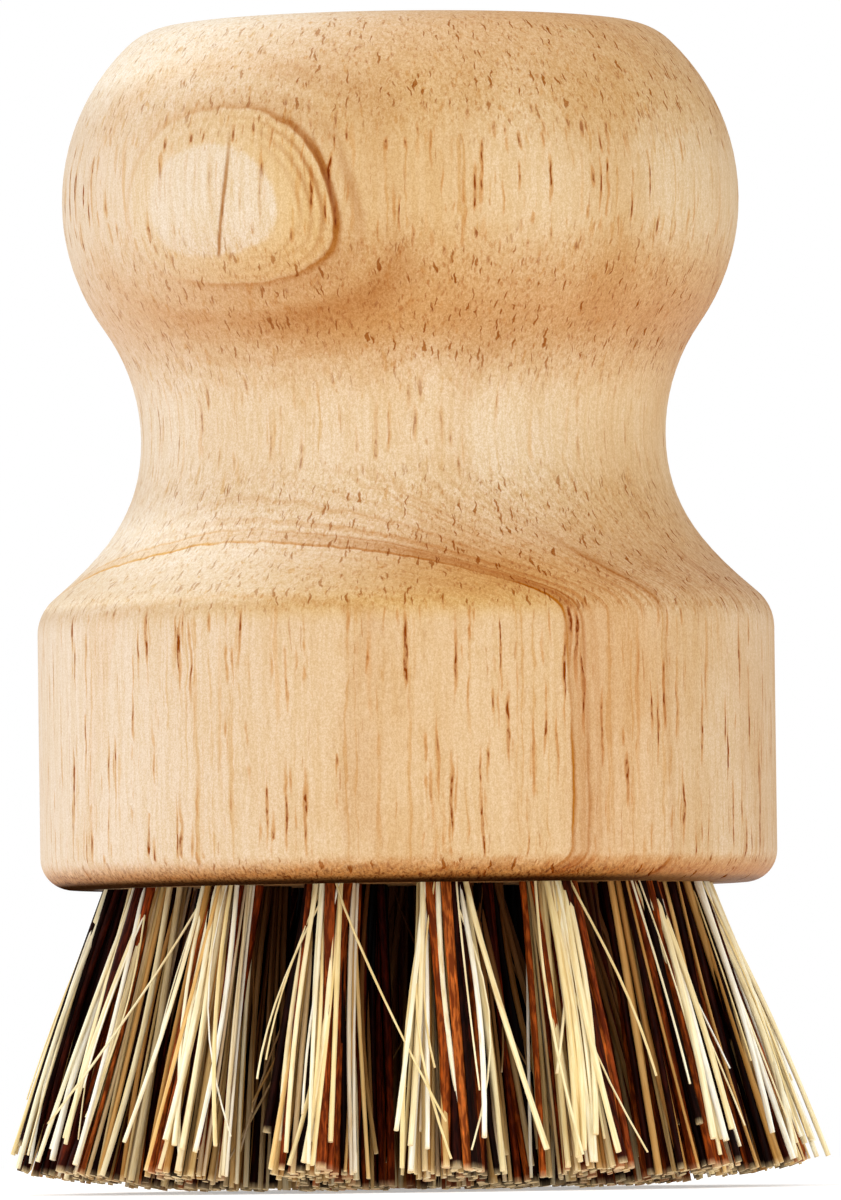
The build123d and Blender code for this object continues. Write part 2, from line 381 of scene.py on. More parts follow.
class Wood(Shader):
    """Turned hardwood, drawn from a point's place in mm and from the way its surface faces."""

    def __init__(self):
        super().__init__("turned_hardwood")
        self.place = self.scaled(self.object_place(), (1.0 / MM, 1.0 / MM, 1.0 / MM))
        self.x, self.y, self.height = self.split(self.place)
        self.knob = self.step(self.height, *KNOB_HEIGHTS)
        self.find_growth()
        self.find_masks()
        self.find_pale()
        self.grain = self.swerving(*GRAIN_SWERVE)
        tone = self.ringed(self.bare())
        tone = self.streaked(tone)
        tone = self.with_vessels(tone)
        relief = self.times(self.mottle, 0.5)
        for mask, depth in (
            (self.core, -0.7),
            (self.hook, -0.5),
            (self.scale, -0.4),
            (self.streaks, 0.3),
        ):
            relief = self.maths("MULTIPLY_ADD", mask, depth, relief)
        dull = self.core
        for mask in (self.hook, self.late, self.rim, self.under_shadow, self.eye_vessel):
            dull = self.maths("MAXIMUM", dull, mask)
        normal = self.bump(relief, WOOD_BUMP, 0.55)
        roughness = self.between(self.mottle, 0.46, 0.64)
        self.finish(tone, roughness, normal, self.between(dull, 0.25, 0.0))

    def find_growth(self):
        """How far out a point's growth ring is, and how near to the eye's height it lies."""
        sine, cosine = math.sin(EYE_ANGLE), math.cos(EYE_ANGLE)
        outward = self.vector("DOT_PRODUCT", self.place, (-sine, -cosine, 0.0))
        self.sideways = self.vector("DOT_PRODUCT", self.place, (cosine, -sine, 0.0))
        self.climb = self.maths("SUBTRACT", self.height, EYE_HEIGHT)
        level = self.times(self.climb, 1.0 / EYE_REACH)
        self.flat = self.maths("EXPONENT", self.times(self.times(level, level), -1.0))
        bend = self.between(self.flat, RING_BEND, BEND_AT_EYE)
        bent = self.times(self.sideways, self.sideways)
        growth = self.maths("MULTIPLY_ADD", bent, bend, outward)
        tilted = self.times(self.climb, self.flat)
        growth = self.maths("MULTIPLY_ADD", tilted, -EYE_TILT, growth)
        wander = self.maths("SUBTRACT", self.noise(self.place, *WANDER_NOISE), 0.5)
        wander = self.times(wander, WANDER_REACH)
        wander = self.times(wander, self.between(self.flat, 1.0, WANDER_AT_EYE))
        growth = self.maths("ADD", growth, wander)
        self.ripple = self.maths("SUBTRACT", self.noise(self.place, *RIPPLE_NOISE), 0.5)
        ripple = self.times(self.ripple, self.between(self.flat, *RIPPLE_REACHES))
        self.growth = self.maths("ADD", growth, ripple)

    def find_masks(self):
        """Which way the surface faces, and which part of the block it is on."""
        normal = self.add("ShaderNodeNewGeometry").outputs["Normal"]
        rise = self.vector("DOT_PRODUCT", normal, (0.0, 0.0, 1.0))
        self.slope = self.step(self.maths("ABSOLUTE", rise), *SLOPE_RISES)
        self.above = self.step(rise, *ABOVE_RISES)
        self.below = self.step(rise, *BELOW_RISES)
        self.crown = self.step(rise, *CROWN_RISES)
        self.waist = self.band(self.height, *WAIST_HEIGHTS)
        self.shoulder = self.band(self.height, *SHOULDER_HEIGHTS)
        self.right = self.step(self.x, *RIGHT_PLACES)
        self.beyond = self.step(self.sideways, *BEYOND_EYE_PLACES)
        # Painted haze of the key light: on the left, reaching further right on tops facing up.
        across = self.maths("MULTIPLY_ADD", self.above, -KEY_HAZE_TOP_SHIFT, self.x)
        self.key_haze = self.step(across, *KEY_HAZE_PLACES)
        self.unhazed = self.rest(self.key_haze)
        radius = self.vector("LENGTH", self.scaled(self.place, (1.0, 1.0, 0.0)))
        edge = self.step(radius, *EDGE_RADII)
        far_right = self.step(self.x, *FAR_RIGHT_PLACES)
        # Masks for painted shade, partly end grain too, on the base's lower rounding and its
        # downward faces, weaker at the far right.
        heel = self.times(self.step(self.height, *HEEL_HEIGHTS), edge)
        self.heel = self.thinned(heel, far_right, by=0.80)
        rim = self.times(self.step(rise, *RIM_RISES), edge)
        self.rim = self.thinned(rim, far_right, by=0.80)
        # Painted shadow on the underside strip between the tufts and the rounding.
        under_shadow = self.times(self.step(rise, *UNDER_RISES), self.step(radius, *UNDER_RADII))
        self.under_shadow = self.thinned(under_shadow, far_right, by=0.50)

    def find_pale(self):
        """The pale core of the eye, and the golden wood between it and the darkest line."""
        leaning = self.maths("MULTIPLY_ADD", self.sideways, PALE_LEAN, self.growth)
        self.pale = self.times(self.step(leaning, *PALE_GROWTHS), self.knob)
        gilded = self.times(self.step(self.growth, *GILDED_GROWTHS), self.knob)
        gilded = self.times(gilded, self.rest(self.pale))
        self.gilded = self.times(gilded, self.between(self.beyond, 0.35, 1.0))

    def bare(self):
        """The tone without late wood and grain: creamy outside the strongest ring, pinkish tan
        inside it, a painted haze of the key light to the left that is paler on tops, darker end
        grain on slopes, and darker brown on downward faces, partly end grain and partly painted
        shade, with a near black painted shadow on the underside strip around the tufts."""
        place = self.maths("MULTIPLY_ADD", self.growth, 1.0 / RING_SPAN, 0.5)
        tone = self.mix(self.knob, self.ramp(place, BASE_TONES), self.ramp(place, KNOB_TONES))
        lit = self.maths("MULTIPLY", self.above, 2.5, clamp=True)
        haze = self.mix(lit, KEY_HAZE_TONE, TOP_KEY_HAZE_TONE)
        tanned = self.times(self.above, self.times(self.unhazed, 0.60))
        for mask, colour in (
            (self.times(self.pale, 0.60), PALE_TONE),
            (self.times(self.waist, 0.75), WAIST_TONE),
            # painted haze of the key light on the left, paler where the surface faces up
            (self.times(self.key_haze, self.between(lit, 0.70, 0.95)), haze),
            (self.thinned(tanned, self.right, by=0.45), TANNED_TONE),
            # darker brown on downward faces: partly end grain, partly painted shade
            (self.times(self.below, self.between(self.unhazed, 0.48, 0.73)), DOWNWARD_GRAIN_AND_SHADE_TONE),
            # the base's lower rounding and its downward faces: partly end grain, partly painted
            # shade
            (self.times(self.heel, 0.60), HEEL_GRAIN_AND_SHADE_TONE),
            (self.times(self.rim, 0.65), RIM_GRAIN_AND_SHADE_TONE),
            # painted shadow, near black, on the underside strip around the tufts
            (self.times(self.under_shadow, 0.94), UNDER_SHADOW_TONE),
        ):
            tone = self.mix(mask, tone, colour)
        return tone

    def late_wood(self, rings):
        """How dark the late wood is: it darkens slowly outwards and ends at once."""
        total = 0.0
        for edge, width, blur, in_base, in_knob in rings:
            band = self.band(self.growth, (edge + blur, edge - blur), (edge - width, edge))
            band = self.times(band, self.between(self.knob, in_base, in_knob))
            total = self.maths("ADD", total, band, clamp=True)
        return total

    def ringed(self, tone):
        """The tone with painted shade on the right side, golden zones, clouds, fine sheets inside
        the strongest ring, and late wood, which is darkest in the arc beyond the eye."""
        lines = self.late_wood(LATE_LINES)
        arc = self.times(self.beyond, self.maths("POWER", self.flat, 3.0))
        shading = self.times(self.knob, self.between(arc, -0.50, 1.70))
        arc = self.times(arc, self.times(self.knob, lines))
        lines = self.times(lines, self.maths("ADD", shading, 1.0))
        drinking = self.between(self.slope, 0.25, 1.0)  # end grain drinks up more colour
        bands = self.times(self.late_wood(LATE_BANDS), drinking)
        bands = self.thinned(bands, self.waist, by=0.70)
        late = self.maths("ADD", lines, self.times(bands, 0.8), clamp=True)
        uneven = self.step(self.noise(self.place, *UNEVEN_NOISE), *UNEVEN_LEVELS)
        late = self.times(late, self.between(uneven, 0.5, 1.0))
        # Late wood fades under the painted haze of the key light.
        fading = self.times(self.key_haze, self.between(self.knob, -0.10, -0.45))
        self.late = self.times(late, self.maths("ADD", fading, 1.0))

        sheet = self.noise(self.joined(self.growth, 0.0, self.height), *SHEET_NOISE)
        sheet = self.step(sheet, *SHEET_LEVELS)
        zone = self.band(self.growth, *SHEET_GROWTHS)
        zone = self.times(self.between(zone, 0.40, 0.95), drinking)
        zone = self.thinned(zone, self.knob, by=0.75)
        zone = self.thinned(zone, self.key_haze, by=0.80)
        zone = self.maths("MULTIPLY_ADD", self.times(self.right, self.shoulder), 0.35, zone)
        cloud = self.step(self.noise(self.place, *CLOUD_NOISE), *CLOUD_LEVELS)

        golden = self.times(self.between(self.unhazed, 0.30, 1.0), self.rest(self.right))
        # Painted shade on the right side, away from the key light: strongest on slopes and the
        # neck, faint on the shoulder.
        right_shade = self.maths("MAXIMUM", self.slope, self.times(self.waist, 1.4))
        right_shade = self.times(self.maths("MAXIMUM", right_shade, 0.2), self.right)
        layers = (
            (self.thinned(right_shade, self.shoulder, by=0.90), (0.94, 0.85, 0.70)),
            (self.times(self.shoulder, self.key_haze), (0.92, 0.88, 0.86)),
            (self.times(self.shoulder, golden), (0.97, 0.89, 0.62)),
            (self.gilded, (0.99, 0.93, 0.76)),
            (self.times(cloud, self.unhazed), (0.90, 0.80, 0.64)),
            (self.times(sheet, zone), (0.82, 0.62, 0.38)),
            (self.times(self.late, self.unhazed), (0.62, 0.33, 0.05)),
            (self.times(self.late, self.key_haze), (0.86, 0.56, 0.17)),
            (arc, (0.50, 0.28, 0.18)),
        )
        return self.glazed(tone, layers)

    def swerving(self, distances, width):
        """The place, swerving sideways, by up to about half of the width."""
        across, along = 1.0 / distances[0], 1.0 / distances[1]
        colour = self.noise(self.place, (across, across, along), 2.0, output="Color")
        swerve = self.vector("SUBTRACT", colour, (0.5, 0.5, 0.5))
        return self.vector("ADD", self.place, self.scaled(swerve, (width, width, 0.0)))

    def unrolled(self, place):
        """Distance round the axis, distance from it and height. The seam is at the back."""
        x, y, height = self.split(place)
        angle = self.maths("ARCTAN2", x, self.times(y, -1.0))
        radius = self.vector("LENGTH", self.scaled(place, (1.0, 1.0, 0.0)))
        return self.joined(self.times(angle, TURNED_RADIUS), radius, height)

    def streaked(self, tone):
        """The tone with streaks along the grain, a fine mottle, and hatching on the heel."""
        self.streaks = self.noise(self.grain, *STREAK_NOISE)
        self.mottle = self.noise(self.place, *MOTTLE_NOISE)
        rough = self.thinned(self.between(self.slope, 0.55, 1.0), self.key_haze, by=0.60)
        rough = self.times(self.step(self.mottle, *MOTTLE_LEVELS), rough)
        grit = self.step(self.noise(self.place, *GRIT_NOISE), *GRIT_LEVELS)
        threads = self.step(self.noise(self.grain, *THREAD_NOISE), *THREAD_LEVELS)
        hatch = self.noise(self.grain, *HATCH_NOISE)
        layers = (
            (self.step(self.streaks, *STREAK_LEVELS), (0.95, 0.91, 0.82)),
            (rough, (0.86, 0.77, 0.62)),
            (grit, (0.91, 0.86, 0.77)),
            (threads, (0.91, 0.79, 0.60)),
            (self.times(self.step(hatch, *DARK_HATCH_LEVELS), self.heel), (0.40, 0.24, 0.10)),
            (self.times(self.step(hatch, *LIGHT_HATCH_LEVELS), self.heel), (1.30, 1.32, 1.34)),
        )
        return self.glazed(tone, layers)

    def depth(self, place, cell, reaches):
        """How deep a point lies in a cut vessel, in widths of a cell. Each cell holds one, with
        the cell's proportions and a reach between the smallest and the largest."""
        node = self.add("ShaderNodeTexVoronoi", feature="F1")
        node.inputs["Scale"].default_value = 1.0
        factors = tuple(1.0 / size for size in cell)
        self.put(node.inputs["Vector"], self.scaled(place, factors))
        chance = self.vector("DOT_PRODUCT", node.outputs["Color"], (1.0, 0.0, 0.0))
        smallest, largest = (reach / cell[0] for reach in reaches)
        reach = self.between(chance, smallest, largest)
        return self.maths("SUBTRACT", reach, node.outputs["Distance"])

    def with_vessels(self, tone):
        """The tone with vessels: long where the surface is upright, short hooks and scales where
        it slopes, dots on the crown."""
        upright = self.thinned(self.between(self.slope, 1.0, 0.3), self.pale, by=0.60)
        necked = self.between(self.waist, 1.0, 0.55)
        broken = self.step(self.noise(self.place, *BREAK_NOISE), *BREAK_LEVELS)
        depth = self.depth(self.grain, *LONG_VESSELS)
        core = self.times(self.step(depth, *CORE_DEPTHS), self.between(broken, 0.25, 1.0))
        self.core = self.times(core, self.times(upright, necked))
        halo = self.times(self.step(depth, *HALO_DEPTHS), upright)
        flame = self.step(self.depth(self.grain, *FLAMES), *FLAME_DEPTHS)
        fine = self.step(self.depth(self.grain, *FINE_VESSELS), *FINE_DEPTHS)

        curled = self.unrolled(self.swerving(*CURL_SWERVE))
        sloping = self.times(self.slope, self.rest(self.crown))
        sloping = self.thinned(sloping, self.key_haze, by=0.50)
        hook = self.step(self.depth(curled, *HOOKS), *HOOK_DEPTHS)
        self.hook = self.times(hook, self.between(sloping, 0.1, 1.0))
        scale = self.step(self.depth(curled, *SCALES), *SCALE_DEPTHS)
        self.scale = self.times(scale, sloping)
        dots = self.step(self.depth(self.place, *DOTS), *DOT_DEPTHS)

        x = self.maths("MULTIPLY_ADD", self.climb, -EYE_VESSEL_LEAN, self.x)
        x = self.maths("MULTIPLY_ADD", self.ripple, EYE_VESSEL_RIPPLE, x)
        vessel = self.maths("ABSOLUTE", self.maths("SUBTRACT", x, EYE_VESSEL_X))
        vessel = self.step(vessel, *EYE_VESSEL_WIDTHS)
        vessel = self.times(vessel, self.band(self.height, *EYE_VESSEL_HEIGHTS))
        self.eye_vessel = self.times(vessel, self.step(self.y, *EYE_VESSEL_SIDE))
        layers = (
            (self.times(self.eye_vessel, 0.85), (0.52, 0.27, 0.07)),
            (self.times(self.times(flame, upright), 0.55), (0.90, 0.70, 0.42)),
            (self.times(self.times(halo, necked), 0.80), (0.83, 0.58, 0.29)),
            (self.times(fine, 0.60), (0.74, 0.50, 0.27)),
            (self.times(self.scale, 0.70), (0.76, 0.54, 0.30)),
            (self.times(self.times(dots, self.crown), 0.60), (0.56, 0.32, 0.12)),
            (self.times(self.hook, 0.90), (0.52, 0.27, 0.08)),
            (self.core, (0.40, 0.15, 0.03)),
        )
        return self.glazed(tone, layers)


# Noise in a fibre, as in the wood.
FIBRE_STREAK_NOISE = ((7.0, 7.0, 0.4), 3.0, 0.5)
FIBRE_PATCH_NOISE = ((1.0, 1.0, 0.22), 4.0, 0.6)
FIBRE_SPECK_NOISE = ((4.5, 4.5, 0.7), 3.0, 0.5)


def fibre_material():
    """Plant fibre: each one's own colour, streaked along its length. A fibre's place is in mm
    across and along it. The tint's alpha says how smooth its kind is."""
    shader = Shader("plant_fibre")
    tinted = shader.add("ShaderNodeAttribute", attribute_name="tint")
    tint, smooth = tinted.outputs["Color"], tinted.outputs["Alpha"]
    place = shader.add("ShaderNodeAttribute", attribute_name="fibre_place").outputs["Vector"]
    streak = shader.noise(place, *FIBRE_STREAK_NOISE)
    patch = shader.noise(place, *FIBRE_PATCH_NOISE)
    speck = shader.noise(place, *FIBRE_SPECK_NOISE)
    rough = shader.rest(smooth)
    layers = (
        (shader.step(streak, 0.60, 0.40), (0.90, 0.84, 0.72)),
        (shader.step(patch, 0.58, 0.76), (0.78, 0.64, 0.46)),
        (shader.times(shader.step(speck, 0.56, 0.44), rough), (0.42, 0.32, 0.28)),
        (shader.times(shader.step(speck, 0.58, 0.70), rough), (1.7, 1.5, 1.3)),
    )
    tone = shader.glazed(tint, layers)
    normal = shader.bump(streak, 0.03 * MM, 0.5)
    roughness = shader.between(patch, 0.42, 0.67)
    return shader.finish(tone, roughness, normal, shader.between(smooth, 0.05, 0.13))


def steel_material():
    """Drawn wire, scratched along its length."""
    shader = Shader("drawn_wire")
    scratch = shader.noise(shader.object_place(), (900.0, 900.0, 4000.0), 4.0)
    tone = shader.mix(scratch, (0.50, 0.50, 0.51, 1), (0.70, 0.70, 0.70, 1))
    shader.surface.inputs["Metallic"].default_value = 1.0
    roughness = shader.between(scratch, 0.25, 0.45)
    return shader.finish(tone, roughness, shader.bump(scratch, 0.01 * MM, 0.4), 0.5)


def floor_material():
    shader = Shader("pale_floor")
    grain = shader.noise(shader.object_place(), (60.0, 60.0, 60.0), 2.0)
    tone = shader.mix(grain, (0.92, 0.92, 0.92, 1), (0.95, 0.95, 0.95, 1))
    shader.surface.inputs["Emission Color"].default_value = (1, 1, 1, 1)
    shader.surface.inputs["Emission Strength"].default_value = FLOOR_GLOW
    return shader.finish(tone, 0.9, shader.bump(grain, 0.1 * MM, 0.05), 0.1)


# The rings of tufts, from the middle out: name, count, radius, first hole's angle from the
# front in degrees, and how light the fibres are at their roots and at their ends.
OUTER_RADIUS = 21.5 * MM
RINGS = (
    ("center", 1, 0.0, 0.0, 0.08, 0.80),
    ("inner", 5, OUTER_RADIUS / 3, 38.0, 0.08, 0.80),
    ("middle", 10, OUTER_RADIUS * 2 / 3, 20.0, 0.10, 0.82),
    ("outer", 16, OUTER_RADIUS, 6.6, 0.92, 1.05),
)
FIRST_SEED = 301
SPLAY_APEX = UNDERSIDE + 82.0 * MM
HOLE_RADIUS = 2.3 * MM
PACKED_RADIUS = 1.8 * MM
FOLD_DEPTH = 6.65 * MM  # mouth of the hole to the crown of the staple in it
FOLD_NARROWING = 0.5  # of a fold, towards the middle of the staple
LEG_ROOM = 1.1 * MM  # fibres pass this close to the staple's middle, between its legs
HALF_GAP = 0.25 * MM  # least distance of a root from the plane that parts a tuft's halves

# Trimmed ends: flat in the middle, then rising towards the edge.
TRIM_FLAT_RADIUS = 14.0 * MM
TRIM_EDGE_RADIUS = 31.0 * MM
TRIM_EDGE_RISE = 1.7 * MM

# A tuft: folded fibres, then loose ones and hairs that cross them on its outer face.
PAIRS_PER_TUFT = 30
LOOSE_PER_TUFT = 7
HAIRS_PER_TUFT = 4
TIP_SPREAD = 2.1  # how much wider a tuft is at its ends than at its root
TIP_LIMIT = 5.5 * MM
FAN_POWER = 1.12  # above 1, a tuft widens more and more towards its ends
CLUMPING = 1.3  # how far fibres of a kind stray from their clump: 0 sorts them strictly
ROOT_CROWDING = 0.42  # radius that a fibre takes up in its tuft, in widths
TIP_CROWDING = 0.55
CROWDING_ROUNDS = 12
PACKING_TURN = math.radians(137.508) / 2  # from each fold to the next
PACKING_CHANCE = 0.1  # of that turn, in radians
SECOND_ROOTS = (0.6, 1.0)  # x of a fold's second root, for that of its first
BOW_CHANCE = 0.22 * MM
CUT_HEIGHTS = (0.08, 0.40)  # of a fibre's end above the trim, in mm
SHORT_SHARE = 0.10
SHORT_HEIGHTS = (0.3, 4.0)  # added for a share of the ends
FLATNESSES = (0.55, 0.95)

# Loose fibres: (narrowest and widest, how far they sway, lowest and highest end above the
# trim). Their places are x along the ring and y across it. In mm.
LOOSE = ((0.30, 0.55), 2.3, (0.1, 3.0))
HAIR = ((0.13, 0.24), 5.2, (0.5, 9.0))
LOOSE_ROOT_X = (-1.7, 1.7)
LOOSE_ROOT_Y = (-2.0, -1.2)
LOOSE_ROOT_DEPTH = -1.5
LOOSE_FAN = 1.6
LOOSE_TIP_Y = (-3.9, 0.5)  # middle and deviation, as in the next line
LOOSE_BOW_Y = (-0.4, 0.3)
LOOSE_BOW_X = 0.28  # deviation, for a mm of sway
LOOSE_FLATNESS = 0.85

# A fibre's mesh.
FIBRE_SIDES = 7
FREE_RINGS = 9
FOLD_RINGS = 5
TRIM_ROUNDS = 18  # of halving, to find where a fibre meets the trim
TRIM_SHARES = (0.3, 1.4)  # of the straight length, between which it does
FRAYED = 0.5 * MM  # length of the lighter end of a cut fibre
TWIST = 0.8
CORNERS = (0.88, 1.1)  # reach of a fibre's corners, in half widths
WIDTHS = (0.93, 1.06)  # how its width varies along it
LABELS = 500.0  # span of the fibres' own places in the noise
CAP_LABEL = 50.0  # shift of the second end's place there
CAP_STEP = 0.7  # from one corner of an end to the next there
FRAY_SHARES = (0.1, 0.75)  # how far the last ring has the colour of a cut end
CAP_SHARES = (0.45, 1.0)  # and how far the end itself has

# Fibre kinds: (narrowest and widest in mm, how far ends stray in mm, colours as displayed,
# smoothness).
PALE_COLOURS = (
    (255, 246, 214),
    (253, 237, 193),
    (244, 220, 162),
    (255, 250, 234),
    (250, 231, 180),
)
PALE = (0.28, 0.52, 0.80, PALE_COLOURS, 1.0)
GOLD = (0.34, 0.62, 0.75, ((230, 188, 120), (216, 170, 98), (238, 204, 140)), 1.0)
RUST = (0.50, 0.95, 0.45, ((180, 92, 34), (150, 68, 24), (198, 110, 48)), 0.0)
DARK = (0.50, 1.00, 0.40, ((52, 15, 6), (32, 8, 3), (76, 26, 9)), 0.0)
KINDS = (PALE, GOLD, RUST, DARK)
OUTER_SHARES = (0.44, 0.20, 0.17, 0.19)
INNER_SHARES = (0.28, 0.16, 0.18, 0.38)
GAINS = (0.84, 1.08)
WARMTHS = (0.94, 1.04)
END_COLOUR = linear(252, 226, 176)

# Painted shade on the fibres: darker towards the root and the middle of the brush, and for fibres
# in the middle of a tuft.
OUTER_SHADE_REACH = 12.0 * MM  # depth below the block at which a fibre is at its lightest
INNER_SHADE_REACH = 23.0 * MM
SHADE_POWERS = (0.9, 1.35, 1.95)  # painted shade takes more of the blue than of the red
BURIED_SHADE = 0.46  # how light a fibre in the middle of its tuft is
BURIED_REACH = 0.8 * TIP_LIMIT


def trim_height(radius):
    """Height of the trimmed ends at a distance from the axis."""
    run = max(0.0, radius - TRIM_FLAT_RADIUS) / (TRIM_EDGE_RADIUS - TRIM_FLAT_RADIUS)
    return TRIM_EDGE_RISE * run * run


def cut_tint(tint, share):
    """A tint, turned towards that of a cut end by a share."""
    parts = [c + (d - c) * share for c, d in zip(tint[:3], END_COLOUR)]
    return (*parts, 1.0)


class Tuft:
    """A tuft's place, and the mesh of its fibres as it grows."""

    def __init__(self, angle, radius, shades, shade_reach, seed):
        self.dice = random.Random(seed)
        self.shades = shades
        self.shade_reach = shade_reach
        self.mouth = Vector((radius * math.sin(angle), -radius * math.cos(angle), UNDERSIDE))
        self.out = (self.mouth - Vector((0, 0, SPLAY_APEX))).normalized()
        self.along = Vector((math.cos(angle), math.sin(angle), 0))
        self.across = self.along.cross(self.out).normalized()
        self.length = UNDERSIDE / -self.out.z
        self.points = []
        self.faces = []
        self.tints = []
        self.places = []

    def at(self, x, y, s):
        """A point x along the ring, y across it and s out of the hole's mouth."""
        return self.mouth + self.along * x + self.across * y + self.out * s

    def free_path(self, root, tip, bow, cut):
        """Points of a fibre from the mouth of the hole to its trimmed end."""

        def place(share):
            fan = share**FAN_POWER
            swell = math.sin(math.pi * min(share, 1.0))
            x = root[0] + (tip[0] - root[0]) * fan + bow[0] * swell
            y = root[1] + (tip[1] - root[1]) * fan + bow[1] * swell
            return self.at(x, y, share * self.length)

        low, high = TRIM_SHARES
        for _ in range(TRIM_ROUNDS):
            middle = (low + high) / 2
            point = place(middle)
            if point.z > trim_height(math.hypot(point.x, point.y)) + cut:
                low = middle
            else:
                high = middle
        path = [place(low * n / (FREE_RINGS - 1)) for n in range(FREE_RINGS)]
        path.insert(-1, place(low - FRAYED / self.length))
        return path

    def fold_path(self, first, second):
        """Points of a fibre inside the hole: up, over the staple's crown and down again."""
        path = []
        for n in range(FOLD_RINGS + 2):
            share = n / (FOLD_RINGS + 1)
            turn = math.pi * share
            x = (first[0] + (second[0] - first[0]) * share) * FOLD_NARROWING
            x = max(-LEG_ROOM, min(LEG_ROOM, x))
            y = first[1] + (second[1] - first[1]) * (1 - math.cos(turn)) / 2
            rise = (abs(first[1]) + abs(second[1])) / 2 * math.sin(turn)
            path.append(self.at(x, y, -FOLD_DEPTH - rise))
        return path

    def tube(self, path, width, flatness, tint, gains):
        """Adds a fibre along a path, with cut ends in their own, lighter colour. gains says how
        light its first half and its second half are."""
        start = len(self.points)
        count = len(path)
        turn = self.dice.uniform(0, math.tau)
        twist = self.dice.uniform(-TWIST, TWIST)
        corners = [self.dice.uniform(*CORNERS) for _ in range(FIBRE_SIDES)]
        label = self.dice.uniform(0, LABELS)
        fray = self.dice.uniform(*FRAY_SHARES)
        run = 0.0
        rings = []
        for n, point in enumerate(path):
            ahead = path[min(n + 1, count - 1)] - path[max(n - 1, 0)]
            ahead.normalize()
            side = self.along - ahead * self.along.dot(ahead)
            side.normalize()
            up = ahead.cross(side)
            if n:
                run += (point - path[n - 1]).length
            size = width / 2 * self.dice.uniform(*WIDTHS)
            ring = []
            for k in range(FIBRE_SIDES):
                angle = twist * n / count + math.tau * k / FIBRE_SIDES
                flat = math.cos(angle) * size * corners[k]
                high = math.sin(angle) * size * corners[k] * flatness
                a = flat * math.cos(turn) - high * math.sin(turn)
                b = flat * math.sin(turn) + high * math.cos(turn)
                ring.append(point + side * a + up * b)
                self.places.append((label + a / MM, b / MM, run / MM))
            rings.append(ring)
            self.points.extend(ring)
            shade = self.shaded(tint, point, gains[0] if n < count / 2 else gains[1])
            if n in (0, count - 1):
                shade = cut_tint(shade, fray)
            self.tints.extend([shade] * FIBRE_SIDES)
        for n in range(count - 1):
            low = start + n * FIBRE_SIDES
            high = low + FIBRE_SIDES
            for k in range(FIBRE_SIDES):
                j = (k + 1) % FIBRE_SIDES
                self.faces.append((low + k, low + j, high + j, high + k))
        self.cap(rings[0], tint, label, flip=True)
        self.cap(rings[-1], tint, label + CAP_LABEL, flip=False)

    def shaded(self, tint, point, light):
        """A tint in its place, with painted shade: darker towards the middle of the brush and
        towards the root.
        """
        share = min(1.0, max(0.0, (UNDERSIDE - point.z) / self.shade_reach)) ** 2
        gain = (self.shades[0] + (self.shades[1] - self.shades[0]) * share) * light
        return (*(part * gain**power for part, power in zip(tint, SHADE_POWERS)), tint[3])

    def cap(self, ring, tint, label, flip):
        """Closes a cut end. flip turns its face round."""
        start = len(self.points)
        self.points.extend(ring)
        shade = cut_tint(tint, self.dice.uniform(*CAP_SHARES))
        self.tints.extend([shade] * FIBRE_SIDES)
        self.places.extend([(label + k, k * CAP_STEP, 0.0) for k in range(FIBRE_SIDES)])
        corners = range(start, start + FIBRE_SIDES)
        self.faces.append(tuple(reversed(corners)) if flip else tuple(corners))

    def mesh(self, name):
        mesh = bpy.data.meshes.new(name)
        mesh.from_pydata(self.points, [], self.faces)
        mesh.update()
        tints = mesh.color_attributes.new("tint", "FLOAT_COLOR", "POINT")
        tints.data.foreach_set("color", [c for tint in self.tints for c in tint])
        places = mesh.attributes.new("fibre_place", "FLOAT_VECTOR", "POINT")
        places.data.foreach_set("vector", [c for place in self.places for c in place])
        sides = [len(face) == 4 for face in self.faces]
        mesh.polygons.foreach_set("use_smooth", sides)
        return mesh


def pick_kinds(dice, shares):
    """Kinds of fibre for a tuft, in clumps of the same kind from one side to the other."""
    kinds = dice.choices(range(len(KINDS)), shares, k=PAIRS_PER_TUFT)
    kinds.sort(key=lambda kind: kind + dice.gauss(0, CLUMPING))
    start = dice.randrange(PAIRS_PER_TUFT)
    kinds = kinds[start:] + kinds[:start]
    return [KINDS[kind] for kind in kinds]


def pick_fibre(dice, kind):
    """A width, how far the ends stray, and a colour varied a little."""
    narrow, wide, stray, colours, smooth = kind
    red, green, blue, _ = linear(*dice.choice(colours))
    gain = dice.uniform(*GAINS)
    warm = dice.uniform(*WARMTHS)
    tint = (min(1, red * gain), min(1, green * gain * warm), min(1, blue * gain * warm**2), smooth)
    return dice.uniform(narrow, wide) * MM, stray * MM, tint


def spread_apart(spots, limit):
    """Moves round spots (x, y, radius) apart until they hardly overlap, inside a limit."""
    for _ in range(CROWDING_ROUNDS):
        for n, first in enumerate(spots):
            for second in spots[:n]:
                dx, dy = first[0] - second[0], first[1] - second[1]
                gap = math.hypot(dx, dy)
                lack = first[2] + second[2] - gap
                if lack <= 0 or gap == 0:
                    continue
                push = lack / gap / 2
                first[0] += dx * push
                first[1] += dy * push
                second[0] -= dx * push
                second[1] -= dy * push
        for spot in spots:
            reach = math.hypot(spot[0], spot[1]) + spot[2]
            if reach > limit:
                spot[0] *= limit / reach
                spot[1] *= limit / reach


def depth_shade(tip):
    """Fibres deep inside a tuft get little light: how light one is, from where its end lies."""
    share = min(1.0, math.hypot(tip[0], tip[1]) / BURIED_REACH)
    return BURIED_SHADE + (1.0 - BURIED_SHADE) * share * share


